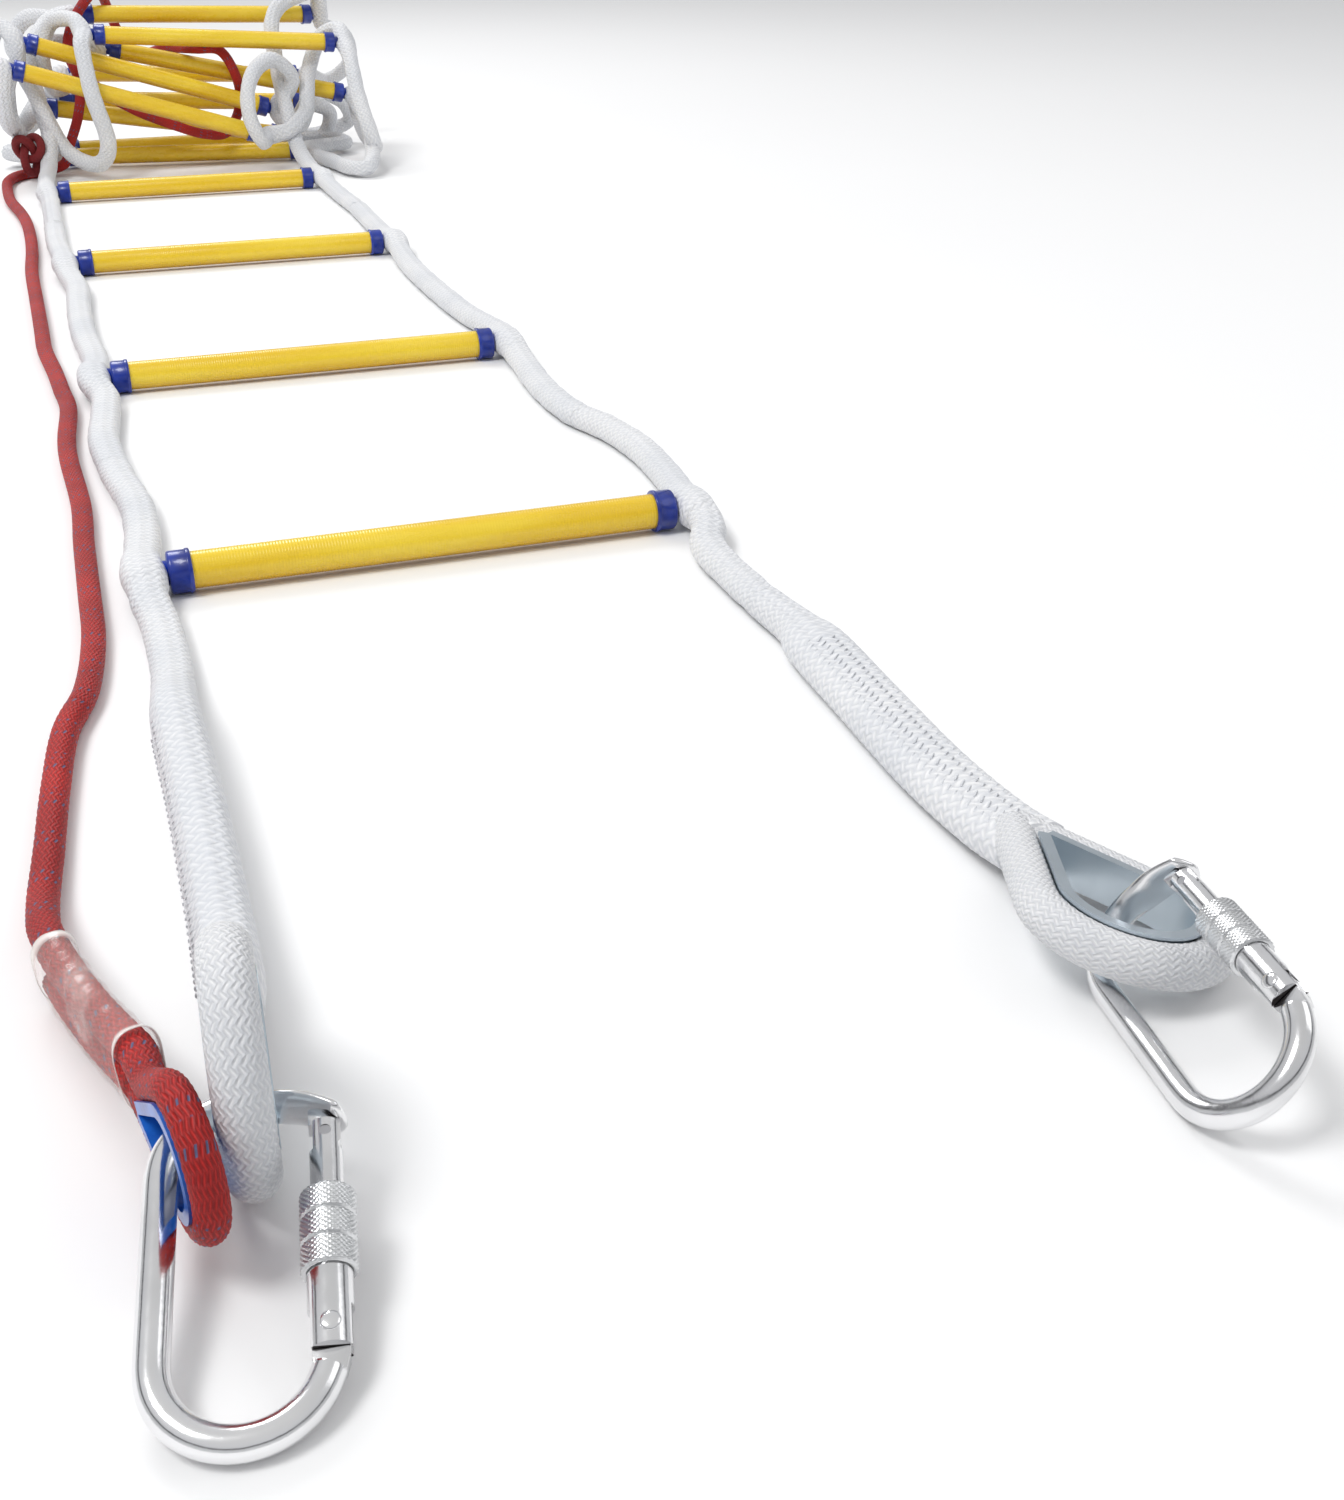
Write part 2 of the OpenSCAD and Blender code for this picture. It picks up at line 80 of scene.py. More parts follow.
# The sewn tails: x, y, z, width, height.
LEFT_TAIL = [
    (-138, -484, 10.5, 18, 13.5), (-138, -497, 9.5, 18, 13), (-136, -520, 7.5, 18, 13),
    (-136, -565, 7.5, 18, 13),
    (-138, -600, 10, 18, 18), (-140, -640, 14.2, 20, 28), (-140, -700, 14.2, 20, 28),
    (-141, -760, 14.2, 20, 28), (-142, -795, 15.5, 20, 28), (-143.5, -834, 21, 20, 28)]
RIGHT_TAIL = [
    (138, -484, 10.5, 18, 13.5), (135, -497, 9.5, 18, 13), (127, -520, 7.5, 18, 13), (126, -580, 7.5, 18, 13),
    (128, -622, 8, 20, 15), (127, -645, 8.8, 28, 17), (124, -700, 8.8, 28, 17),
    (121, -760, 8.8, 28, 17), (121, -805, 10.5, 28, 17), (122, -829, 13.5, 28, 17)]
LEFT_EYE = ((-146.8, -882.2, 36.9), -4, -16.9, 90)
RIGHT_EYE = ((125.4, -878.3, 14.9), 5, 0.6, 13.3)
THIMBLE_R, THROAT_D, THIMBLE_WEB = 20.0, 42.0, 1.5
EYE_LIMB = 42.0

# The side ropes in the roll, from one rung's end to the next one's.
LEFT_LOOPS = [
    [(-136, 700, 9), (-130, 752, 16), (-124, 778, 44), (-129, 800, 78), (-130, 830, 118),
     (-106, 858, 150)],
    [(-88, 885, 150), (-125, 915, 150), (-145, 945, 115), (-110, 950, 80)],
    [(-100, 930, 68), (-125, 945, 45), (-150, 935, 25), (-140, 912, 12)],
    [(-116, 878, 14), (-150, 885, 16), (-168, 868, 16), (-145, 848, 14)],
    [(-122, 824, 16), (-142, 795, 34), (-155, 776, 48), (-160, 797, 74), (-150, 824, 106),
     (-112, 852, 128), (-85, 852, 128), (-66, 836, 126)],
    [(-70, 845, 105), (-95, 848, 86), (-112, 826, 88), (-117, 826, 120), (-104, 828, 150),
     (-82, 806, 156)],
    [(-78, 755, 132), (-76, 734, 90), (-67, 730, 40), (-80, 745, 17), (-108, 775, 28),
     (-128, 778, 75), (-142, 785, 112)],
    [(-158, 806, 150), (-172, 798, 118), (-172, 765, 92)],
    [(-164, 742, 92), (-163, 752, 62), (-152, 800, 50)],
    [(-136, 862, 60), (-130, 885, 60), (-112, 885, 75)]]
RIGHT_LOOPS = [
    [(138, 690, 9), (134, 745, 24), (130, 775, 60), (128, 800, 104), (132, 838, 142),
     (150, 860, 162), (188, 870, 172)],
    [(200, 905, 135), (228, 915, 120), (232, 930, 90), (205, 940, 70)],
    [(185, 900, 65), (215, 905, 50), (225, 925, 25), (190, 930, 12)],
    [(166, 888, 12), (195, 875, 12), (205, 845, 12), (180, 828, 12)],
    [(154, 785, 10.5), (170, 720, 9.5), (180, 675, 9.5), (198, 668, 12), (212, 720, 28),
     (216, 780, 48)],
    [(217, 836, 60), (220, 810, 30), (218, 740, 22), (210, 702, 34), (203, 728, 75),
     (203, 762, 112)],
    [(200, 805, 138), (182, 822, 128), (162, 800, 95), (152, 775, 60), (140, 770, 42)],
    [(140, 780, 90), (120, 766, 112), (99, 756, 105), (86, 742, 85), (84, 733, 58),
     (94, 731, 34)],
    [(128, 748, 42), (152, 775, 58), (160, 820, 60), (152, 845, 40)],
    [(150, 862, 14), (185, 885, 14), (196, 885, 40)]]

# The red safety rope, from the middle of the roll to its sleeve.
RED_Z = RED_D / 2 + 0.1
RED_BAYS = [
    [(-159, -105, RED_Z), (-157, -150, RED_Z), (-161, -210, RED_Z), (-162, -255, RED_Z),
     (-160, -336, RED_Z), (-162, -398, RED_Z)],
    [(-165, 265, RED_Z), (-165, 160, RED_Z), (-165, 64, RED_Z), (-165, 4, RED_Z),
     (-161, -60, RED_Z)],
    [(-173.5, 620, RED_Z), (-166, 550, RED_Z), (-162, 490, RED_Z), (-161, 420, RED_Z),
     (-162, 350, RED_Z)]]
RED_ROLL = [
    (-175, 700, RED_Z), (-172, 742, RED_Z), (-160, 775, RED_Z),
    (-135, 792, 6), (-112, 798, 12), (-103, 802, 32), (-92, 810, 54), (-85, 815, 77),
    (-84, 820, 97), (-90, 834, 122), (-80, 838, 150), (-58, 848, 176), (-46, 870, 178),
    (-40, 895, 165), (-30, 905, 135), (-12, 890, 112), (15, 850, 120), (42, 802, 123),
    (68, 800, 120), (82, 799, 93), (84, 812, 62), (66, 800, 36), (40, 790, 36),
    (10, 790, 46), (-26, 795, 61), (-55, 800, 78), (-68, 800, 90)]
RED_LEAD = [
    (-163.5, -465, RED_Z), (-165, -520, RED_Z), (-171, -572, RED_Z), (-181, -608, RED_Z),
    (-187, -656, RED_Z), (-191, -700, RED_Z), (-194, -735, 7), (-194, -762, 13)]
RED_EYE = ((-163.2, -905.8, 29.2), 11, -8.9, 90)
RED_THIMBLE_R, RED_THROAT_D, RED_WEB, RED_LIMB = 12.0, 28.0, 1.3, 26.0
STRAND_GAP = 10.9
SLEEVE_ROUTE = [(-191, -784, 12.4), (-187, -800, 12.6), (-180, -825, 15), (-171, -855, 20.5)]

LEFT_HOOK = ((-155, -932.1, 15.4), -10, 14.4, 2)
RIGHT_HOOK = ((116.6, -925.7, 19.5), -8.5, 0, -48.9)
HOOK_W, HOOK_LOW, HOOK_TOP, RIVET_Y, BAR_D = 20.0, -24.0, 26.0, -20.0, 8.5
NOSE_THICK, NOSE_BROAD, TONGUE_H = 4.6, 13.6, 4.9
SLOT_REACH, GATE_ENDS = 4.0, (-40, 45)
NECK_D, SLEEVE_D, SLEEVE_L, SLEEVE_Y = 8.4, 14.0, 22.0, -5.0


# ---------------------------------------------------------------- camera
def make_camera():
    """The eye stands low beyond the hooks and looks up the ladder."""
    eye = Vector((-0.163, -1.245, 0.31075)) + Vector(HOME * MM)
    heading, dip = Vector((0.3486, 0.9373, 0.0)), math.radians(27.96)
    aim = heading * math.cos(dip) - Vector((0, 0, math.sin(dip)))
    data = bpy.data.cameras.new("camera")
    data.lens, data.sensor_width = 40.5, 36
    data.clip_start = 0.01
    camera = bpy.data.objects.new("camera", data)
    camera.location = eye
    camera.rotation_euler = aim.to_track_quat("-Z", "Y").to_euler()
    bpy.context.scene.collection.objects.link(camera)
    bpy.context.scene.camera = camera


# ---------------------------------------------------------------- shader expressions
class Value:
    """A shader socket. Arithmetic on it adds Math nodes."""

    def __init__(self, look, socket):
        self.look, self.socket = look, socket

    def maths(self, operation, *others):
        return self.look.node("ShaderNodeMath", {"operation": operation},
                              dict(enumerate((self, *others))))

    def reflected(self, operation, other):
        return self.look.node("ShaderNodeMath", {"operation": operation}, {0: other, 1: self})

    def __add__(self, other):
        return self.maths("ADD", other)

    def __sub__(self, other):
        return self.maths("SUBTRACT", other)

    def __mul__(self, other):
        return self.maths("MULTIPLY", other)

    def __rsub__(self, other):
        return self.reflected("SUBTRACT", other)

    __radd__, __rmul__ = __add__, __mul__

    def cos(self):
        return self.maths("COSINE")

    def wave(self):
        """1 at whole numbers and 0 half way between them."""
        return (self * math.tau).cos() * 0.5 + 0.5

    def part(self):
        return self.maths("FRACT")

    def between(self, low, high):
        """0 at low and 1 at high, smooth between them."""
        return self.look.node("ShaderNodeMapRange", {"interpolation_type": "SMOOTHSTEP"},
                              {0: self, 1: low, 2: high})


class Look:
    """A material, with the few kinds of node that the finishes need."""

    def __init__(self, name):
        self.material = bpy.data.materials.new(name)
        self.material.use_nodes = True
        self.tree = self.material.node_tree
        self.shader = self.tree.nodes["Principled BSDF"]

    def node(self, kind, settings=None, sockets=None, out=0):
        made = self.tree.nodes.new(kind)
        for name, value in (settings or {}).items():
            setattr(made, name, value)
        self.feed(made, sockets or {})
        return Value(self, made.outputs[out])

    def feed(self, made, sockets):
        for name, value in sockets.items():
            if isinstance(value, Value):
                self.tree.links.new(value.socket, made.inputs[name])
            else:
                made.inputs[name].default_value = value

    def along_around(self):
        """Metres along a piece, and turns round it."""
        split = self.tree.nodes.new("ShaderNodeSeparateXYZ")
        self.feed(split, {0: self.node("ShaderNodeTexCoord", out="UV")})
        return Value(self, split.outputs[0]), Value(self, split.outputs[1])

    def speckle(self, scale, detail=2.0, stretch=(1, 1, 1)):
        """Noise on the piece's own metres, from 0 to 1."""
        where = self.node("ShaderNodeMapping", {},
                          {"Vector": self.node("ShaderNodeTexCoord", out="Object"), "Scale": stretch})
        return self.node("ShaderNodeTexNoise", {}, {"Vector": where, "Scale": scale, "Detail": detail})

    def mix(self, share, first, second):
        """first where share is 0 and second where it is 1."""
        return self.node("ShaderNodeMix", {"data_type": "RGBA"}, {0: share, 6: first, 7: second}, out=2)

    def bump(self, height, distance, strength=1.0):
        return self.node("ShaderNodeBump", {}, {"Height": height, "Distance": distance, "Strength": strength})

    def shade(self, **sockets):
        self.feed(self.shader, {name.replace("_", " "): value for name, value in sockets.items()})
        return self.material


def rgb(red, green, blue):
    return (red, green, blue, 1.0)


def braid_height(look, pitch, strands):
    """Plaited yarns: two families of ridges that take turns on top."""
    along, around = look.along_around()
    right, left = along * (1 / pitch) + around * strands, along * (1 / pitch) - around * strands
    over = ((right + left) * math.pi).cos() * 0.5 + 0.5
    return (right.wave() * over).maths("MAXIMUM", left.wave() * (1 - over))


def white_braid(name, pitch, strands, depth, shade):
    look = Look(name)
    height = braid_height(look, pitch, strands)
    fuzz = look.speckle(900.0, 3.0)
    patches = look.speckle(18.0, 3.0)
    tint = look.mix(patches.between(0.35, 0.65), rgb(0.76, 0.77, 0.79), rgb(0.84, 0.84, 0.845))
    # Painted shade: the grooves between the yarns are mixed towards a grey-blue, and shade sets how strongly.
    colour = look.mix((1 - height) * shade, tint, rgb(0.38, 0.41, 0.47))
    return look.shade(Base_Color=colour, Roughness=0.74, Sheen_Weight=0.12, Sheen_Roughness=0.5,
                      Subsurface_Weight=0.08, Subsurface_Radius=(0.003, 0.003, 0.003),
                      Normal=look.bump(height + fuzz * 0.35, depth))


def red_braid():
    """Bright red sheath with clusters of blue-grey yarn ends at an even spacing."""
    look = Look("red_braid")
    height = braid_height(look, RED_PITCH * MM, RED_STRANDS)
    along, around = look.along_around()
    tracer, row = 2, 0.0285
    phase = (along * (1 / row)).part()
    rows = (phase - 0.14).maths("ABSOLUTE").between(0.10, 0.07)
    rows = rows.maths("MAXIMUM", (phase - 0.42).maths("ABSOLUTE").between(0.10, 0.07))
    yarn = along * (1 / (RED_PITCH * MM)) + around * RED_STRANDS
    other = along * (1 / (RED_PITCH * MM)) - around * RED_STRANDS
    over = ((yarn + other) * math.pi).cos()
    dots = yarn.wave().between(0.35, 0.6) * over.between(0.0, 0.35) \
        * (yarn * (1 / tracer)).wave().between(0.7, 0.9)
    fleck = rows * dots
    wear = look.speckle(35.0, 4.0)
    cloth = look.mix(wear.between(0.3, 0.75), rgb(0.44, 0.006, 0.005), rgb(0.66, 0.016, 0.010))
    # Painted shade: the grooves between the yarns are mixed towards a dark red.
    cloth = look.mix((1 - height) * 0.7, cloth, rgb(0.13, 0.001, 0.002))
    colour = look.mix(fleck * 0.9, cloth, rgb(0.06, 0.11, 0.22))
    fuzz = look.speckle(1100.0, 3.0)
    return look.shade(Base_Color=colour, Roughness=0.6,
                      Normal=look.bump(height + fuzz * 0.3, 0.0005))


def knot_red():
    look = Look("knot_red")
    height = braid_height(look, RED_PITCH * MM, RED_STRANDS)
    # Painted shade: the grooves between the yarns are much darker than the ridges.
    colour = look.mix(height, rgb(0.09, 0.003, 0.004), rgb(0.33, 0.012, 0.016))
    return look.shade(Base_Color=colour, Roughness=0.7, Normal=look.bump(height, 0.0006))


def rung_resin():
    """Pultruded resin: ribs round the tube, a bright top and a painted shade of darker amber on the
    underside.
    """
    look = Look("rung_resin")
    along, around = look.along_around()
    ribs = (along * (1 / 0.0015)).wave()
    fibres = look.speckle(60.0, 4.0, (0.12, 1, 1))
    # Painted shade: the underside of each rung is mixed to a darker amber, as if lit from above.
    underside_painted_shade = (around - 0.75).maths("ABSOLUTE").between(0.24, 0.02)
    body = look.mix(fibres.between(0.3, 0.7), rgb(0.80, 0.52, 0.010), rgb(0.90, 0.66, 0.035))
    body = look.mix(underside_painted_shade * 0.85, body, rgb(0.48, 0.21, 0.006))
    scuffs = look.speckle(260.0, 5.0, (0.4, 1, 1))
    return look.shade(Base_Color=body, Roughness=scuffs * 0.16 + 0.2, Coat_Weight=0.35, Coat_Roughness=0.15,
                      Normal=look.bump(ribs * 0.4 + fibres * 0.6, 0.00025))


def cap_plastic():
    look = Look("cap_plastic")
    flow = look.speckle(80.0, 4.0)
    colour = look.mix(flow.between(0.3, 0.7), rgb(0.002, 0.016, 0.20), rgb(0.004, 0.034, 0.36))
    return look.shade(Base_Color=colour, Roughness=flow * 0.12 + 0.24, Coat_Weight=0.3,
                      Normal=look.bump(look.speckle(500.0, 4.0), 0.00012))


def steel(name, tint, rough, spread, scale, depth):
    look = Look(name)
    grain = look.speckle(scale, 5.0)
    blush = look.speckle(scale * 0.12, 3.0)
    colour = look.mix(blush.between(0.3, 0.7), tint, rgb(*[0.82 * c for c in tint[:3]]))
    return look.shade(Base_Color=colour, Metallic=1.0, Roughness=grain * spread + rough,
                      Normal=look.bump(grain, depth))


def blue_plastic():
    look = Look("blue_plastic")
    flow = look.speckle(120.0, 3.0)
    colour = look.mix(flow.between(0.3, 0.7), rgb(0.006, 0.075, 0.38), rgb(0.015, 0.15, 0.60))
    return look.shade(Base_Color=colour, Roughness=0.3, Coat_Weight=0.25,
                      Normal=look.bump(look.speckle(600.0, 3.0), 0.0001))


def clear_film():
    """Shrunk film: nearly clear, milky in its folds, whiter at its two ends."""
    look = Look("clear_film")
    along, around = look.along_around()
    folds = look.speckle(90.0, 4.0, (1, 0.35, 1))
    rim = (along - 0.0375).maths("ABSOLUTE").between(0.0335, 0.0365)
    teeth = (along * 450.0).wave()
    # A greyer, more opaque band with a wavy edge along one lower side of the film, over the lower strand.
    grey_lower_band = (around + teeth * 0.014 - 0.62).maths("ABSOLUTE").between(0.145, 0.13)
    cover = (folds.between(0.5, 0.8) * 0.22 + 0.12).maths("MAXIMUM", rim * 0.75).maths("MAXIMUM", grey_lower_band * 0.62)
    colour = look.mix(grey_lower_band, rgb(0.90, 0.72, 0.68), rgb(0.60, 0.55, 0.53))
    colour = look.mix(rim, colour, rgb(0.93, 0.88, 0.84))
    look.material.surface_render_method = "DITHERED"
    return look.shade(Base_Color=colour, Alpha=cover, Roughness=0.16, Coat_Weight=0.4,
                      Normal=look.bump(folds, 0.0008))


def sewing_thread():
    look = Look("sewing_thread")
    along, _ = look.along_around()
    twist = (along * 1800.0).wave()
    # Painted shade: the grooves of the twist are mixed towards a grey-blue.
    colour = look.mix(twist, rgb(0.62, 0.65, 0.70), rgb(0.93, 0.94, 0.96))
    return look.shade(Base_Color=colour, Roughness=0.55, Normal=look.bump(twist, 0.0002))


def studio_floor():
    look = Look("studio_floor")
    colour = look.mix(look.speckle(1.5, 2.0), rgb(0.90, 0.90, 0.90), rgb(0.92, 0.92, 0.92))
    return look.shade(Base_Color=colour, Roughness=0.9, Specular_IOR_Level=0.1)


# ---------------------------------------------------------------- shapes
def put(point):
    """A point or points of the ladder, in metres of the frame."""
    return (np.asarray(point, float) + HOME) * MM


def turn(axis, degrees):
    c, s = math.cos(math.radians(degrees)), math.sin(math.radians(degrees))
    return {"x": np.array([[1, 0, 0], [0, c, -s], [0, s, c]]),
            "y": np.array([[c, 0, s], [0, 1, 0], [-s, 0, c]]),
            "z": np.array([[c, -s, 0], [s, c, 0], [0, 0, 1]])}[axis]


def posed(points, pose):
    """Points drawn at the origin, moved to a pose of place, yaw, pitch and roll."""
    place, yaw, pitch, roll = pose
    return np.asarray(points, float) @ (turn("z", yaw) @ turn("x", pitch) @ turn("y", roll)).T + place


def at_rung(points, number):
    x, y, z, yaw, tilt = RUNG_AT[number - 1]
    return posed(points, ((x, y, z), yaw, 0, tilt))


def smooth(points, steps=12):
    """A smooth curve through the points, in any number of columns."""
    p = np.asarray(points, float)
    t = (np.arange(steps) / steps)[:, None]
    runs = []
    for i in range(len(p) - 1):
        a, b, c, d = p[max(i - 1, 0)], p[i], p[i + 1], p[min(i + 2, len(p) - 1)]
        runs.append(0.5 * (2 * b + (c - a) * t + (2 * a - 5 * b + 4 * c - d) * t ** 2
                           + (3 * b - a - 3 * c + d) * t ** 3))
    return np.vstack(runs + [p[-1:]])


def run_of(path):
    """Distance along a path at each of its points."""
    steps = np.linalg.norm(np.diff(path[:, :3], axis=0), axis=1)
    return np.concatenate([[0], np.cumsum(steps)])


def stepped(path, step):
    """The path again, with its points evenly spaced."""
    run = run_of(path)
    marks = np.linspace(0, run[-1], max(4, int(round(run[-1] / step)) + 1))
    return np.column_stack([np.interp(marks, run, path[:, k]) for k in range(path.shape[1])])


def eased(path, reach):
    """Rounds off a path's corners by averaging each point with its neighbours."""
    soft = path.copy()
    for _ in range(reach):
        soft[1:-1] = 0.25 * soft[:-2] + 0.5 * soft[1:-1] + 0.25 * soft[2:]
    return soft


def carried_frame(path, up):
    """Forward, side and up along a path, carried on without twist."""
    ahead = np.gradient(path, axis=0)
    ahead /= np.linalg.norm(ahead, axis=1)[:, None]
    ups, lift = np.empty_like(path), np.array(up, float)
    for i, forward in enumerate(ahead):
        lift = lift - (lift @ forward) * forward
        lift /= np.linalg.norm(lift)
        ups[i] = lift
    return ahead, np.cross(ahead, ups), ups


def piece(name, mesh, material, smooth_faces=True):
    made = bpy.data.objects.new(name, mesh)
    bpy.context.scene.collection.objects.link(made)
    mesh.materials.append(material)
    mesh.polygons.foreach_set("use_smooth", [smooth_faces] * len(mesh.polygons))
    return made


def tube_mesh(name, rings, run, closed=False):
    """A skin over rings of points, in metres. closed joins the last ring to the first."""
    count, sides = rings.shape[:2]
    last = count if closed else count - 1
    i, k = np.meshgrid(np.arange(last), np.arange(sides), indexing="ij")
    j, m = (i + 1) % count, (k + 1) % sides
    quads = np.stack([i * sides + k, i * sides + m, j * sides + m, j * sides + k], -1).reshape(-1, 4)
    far = np.append(run, run[-1] + 0.001)
    u = np.stack([run[i], run[i], far[i + 1], far[i + 1]], -1).reshape(-1)
    v = np.stack([k, k + 1, k + 1, k], -1).reshape(-1) / sides
    faces = quads.tolist()
    if not closed:
        faces += [list(range(sides))[::-1], list(range((count - 1) * sides, count * sides))]
        ends = np.concatenate([np.full(sides, run[0]), np.full(sides, run[-1])])
        u, v = np.concatenate([u, ends]), np.concatenate([v, np.zeros(2 * sides)])
    mesh = bpy.data.meshes.new(name)
    mesh.from_pydata(rings.reshape(-1, 3).tolist(), [], faces)
    mesh.uv_layers.new(name="run").data.foreach_set("uv", np.column_stack([u, v]).ravel())
    return mesh


def plait(run, around, pitch, strands):
    """The same plaited height as in the braid's finish, from 0 to 1. run is in millimetres."""
    right, left = run / pitch + around * strands, run / pitch - around * strands
    over = 0.5 + 0.5 * np.cos(math.pi * (right + left))
    wave = lambda x: 0.5 + 0.5 * np.cos(math.tau * x)
    return np.maximum(wave(right) * over, wave(left) * (1 - over))


def oval_rings(path, width, height, up=(0, 0, 1), sides=36, square=2.3, relief=None, ridge=0.0, lag=0.0):
    """Rings of a rope, in millimetres. ridge is the height of three long ridges on its flat faces."""
    run = run_of(path) + lag
    _, side, lift = carried_frame(path, up)
    around = np.arange(sides) / sides
    angle = math.tau * around
    c, s = np.cos(angle), np.sin(angle)
    across = np.sign(c) * np.abs(c) ** (2 / square)
    above = np.sign(s) * np.abs(s) ** (2 / square)
    width, height = np.broadcast_to(width, run.shape), np.broadcast_to(height, run.shape)
    x = np.outer(width / 2, across)
    y = np.outer(height / 2, above) + ridge * np.cos(3 * math.pi * across) * s * np.abs(s)
    if relief is not None:
        bulge = relief(run[:, None], around[None, :])
        x, y = x + bulge * c, y + bulge * s
    rings = path[:, None, :] + x[..., None] * side[:, None, :] + y[..., None] * lift[:, None, :]
    return rings, run


def rope(name, path, width, height, material, **shape):
    rings, run = oval_rings(path, width, height, **shape)
    return piece(name, tube_mesh(name, put(rings), run * MM), material)


def turned(name, outline, sides, material, place=None, smooth_faces=True):
    """A shape turned on X. The outline is distance along X and radius."""
    outline = np.asarray(outline, float)
    angle = math.tau * np.arange(sides) / sides
    rings = np.stack([np.repeat(outline[:, :1], sides, 1), outline[:, 1:] * np.cos(angle),
                      outline[:, 1:] * np.sin(angle)], -1)
    run = np.concatenate([[0], np.cumsum(np.hypot(*np.diff(outline, axis=0).T))])
    shaped = rings.reshape(-1, 3) if place is None else place(rings.reshape(-1, 3))
    mesh = tube_mesh(name, put(shaped).reshape(rings.shape), (outline[0, 0] + run) * MM)
    mesh.flip_normals()
    return piece(name, mesh, material, smooth_faces)


# ---------------------------------------------------------------- side ropes
def rung_end(number, side):
    return at_rung([[side * ROPE_X, 0, 0]], number)[0]


def side_rope_route(side):
    """The whole side rope, from the last rung of the roll to the start of the sewn tail."""
    bays, loops = (LEFT_BAYS, LEFT_LOOPS) if side < 0 else (RIGHT_BAYS, RIGHT_LOOPS)
    tail = LEFT_TAIL if side < 0 else RIGHT_TAIL
    route = []
    for i in range(len(RUNG_AT), LAID, -1):
        end = rung_end(i, side)
        route.append([*end, LOOP_W + 3, LOOP_H + 3.5])
        route += [[*p, LOOP_W, LOOP_H] for p in reversed(loops[i - LAID - 1])]
    for bay in range(LAID, 0, -1):
        y = RUNG_AT[bay - 1][1]
        x = side * ROPE_X
        route += [[x, y + 16, LIE - 0.3, ROPE_W + 1, ROPE_H + 3], [x, y, LIE, ROPE_W + 3.6, CAP_D - 2.5],
                  [x, y - 16, LIE - 0.3, ROPE_W + 1, ROPE_H + 3]]
        if bay > 1:
            route += [[*p, ROPE_W, ROPE_H] for p in bays[bay - 2]]
    route += [list(p) for p in tail]
    return stepped(smooth(route, 14), 1.6)


def cut(route, high, low):
    """The stretch of a laid route between two places along the ladder, and how far in it starts."""
    chosen = np.where((route[:, 1] <= high) & (route[:, 1] >= low))[0]
    first, last = chosen[0], chosen[-1]
    return route[first:last + 1], run_of(route)[first]


IN_THE_ROLL = 1e9
JOINTS = [("roll", "bay_3", 620, IN_THE_ROLL, 445), ("bay_3", "bay_2", 265, 445, 90),
          ("bay_2", "bay_1", -105, 90, -285), ("bay_1", "{}_tail", -465, -285, -590)]
BAY_BELOW = {265: 3, -105: 2, -465: 1}
ROLL_FOOT_Y, RED_TAIL_Y = 665, -588.8


def bend_at(made):
    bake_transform(made)


def side_ropes(material):
    for side, word in ((-1, "left"), (1, "right")):
        route = side_rope_route(side)
        # The laid part starts after the last loop of the roll, so a cut never jumps into the roll.
        laid_from = np.where(route[:, 1] > ROLL_FOOT_Y)[0][-1]
        for upper, lower, y, high, low in JOINTS:
            lower = lower.format(word)
            if high == IN_THE_ROLL:
                end = np.where(route[:, 1] < low)[0]
                stretch, lag = route[:end[end > laid_from][0] + 1], 0.0
                nodes = [f"{word}_roll_rope"]
            else:
                laid = route[laid_from:]
                stretch, lag = cut(laid, high + 1.7, low)
                lag += run_of(route)[laid_from]
                nodes = [f"{word}_rope_{BAY_BELOW[y]}"]
            crinkle = lambda run, around: 0.16 * np.sin(run / 9.0 + 7 * np.sin(run / 61.0)) \
                + 0.10 * np.sin(run / 2.7 + math.tau * around * 2)
            made = rope(f"{word}_side_rope_{lower}", stretch[:, :3], stretch[:, 3], stretch[:, 4], material,
                        ridge=0.55, sides=36, relief=crinkle, lag=lag)
            bend_at(made)
            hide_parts(*nodes)


# ---------------------------------------------------------------- sewn tails and eyes
def eye_route(radius, slope, limb, steps):
    """Limb, round the thimble, limb, lying in XY with the throat towards +Y."""
    c, s = math.cos(slope), math.sin(slope)
    arc = [(radius * math.cos(a), radius * math.sin(a), 0)
           for a in np.linspace(slope, -math.pi - slope, steps + 1)]
    return np.array([(radius * c - limb * s, radius * s + limb * c, 0), *arc,
                     (limb * s - radius * c, radius * s + limb * c, 0)])


def stitches(name, tail, rows, body, material, face_up):
    """Short threads across the tail, in rows along it."""
    path = stepped(tail, 1.0)
    run = run_of(path)
    _, side, lift = carried_frame(path[:, :3], (0, 0, 1))
    across_dir, out_dir = (side, lift) if face_up else (lift, side)
    width, depth = (path[:, 3], path[:, 4]) if face_up else (path[:, 4], path[:, 3])
    pitch, slant, thread_r, sides = 4.6, 1.6, 0.42, 6
    angle = math.tau * np.arange(sides) / sides
    meshes = []
    for row in rows:
        for mark in np.arange(6, run[-1] - 6, pitch):
            points = []
            for share in np.linspace(-1, 1, 7):
                at = mark + share * slant
                offset = row + share * 0.055
                q = np.array([np.interp(at, run, path[:, k]) for k in range(3)])
                w, d = np.interp(at, run, width), np.interp(at, run, depth)
                flat = max(0.0, 1 - abs(2 * offset) ** 2.3) ** (1 / 2.3)
                a = np.array([np.interp(at, run, across_dir[:, k]) for k in range(3)])
                o = np.array([np.interp(at, run, out_dir[:, k]) for k in range(3)])
                high = d / 2 * flat + 0.25 - 0.75 * share ** 4
                points.append(q + a * offset * w + o * high)
            points = np.array(points)
            _, s, u = carried_frame(points, (0.1, 0.2, 1))
            ring = points[:, None] + thread_r * (np.cos(angle)[None, :, None] * s[:, None]
                                                 + np.sin(angle)[None, :, None] * u[:, None])
            meshes.append(tube_mesh("thread", put(ring), run_of(ring[:, 0]) * MM))
    made = joined(name, meshes, material)
    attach(made, body)


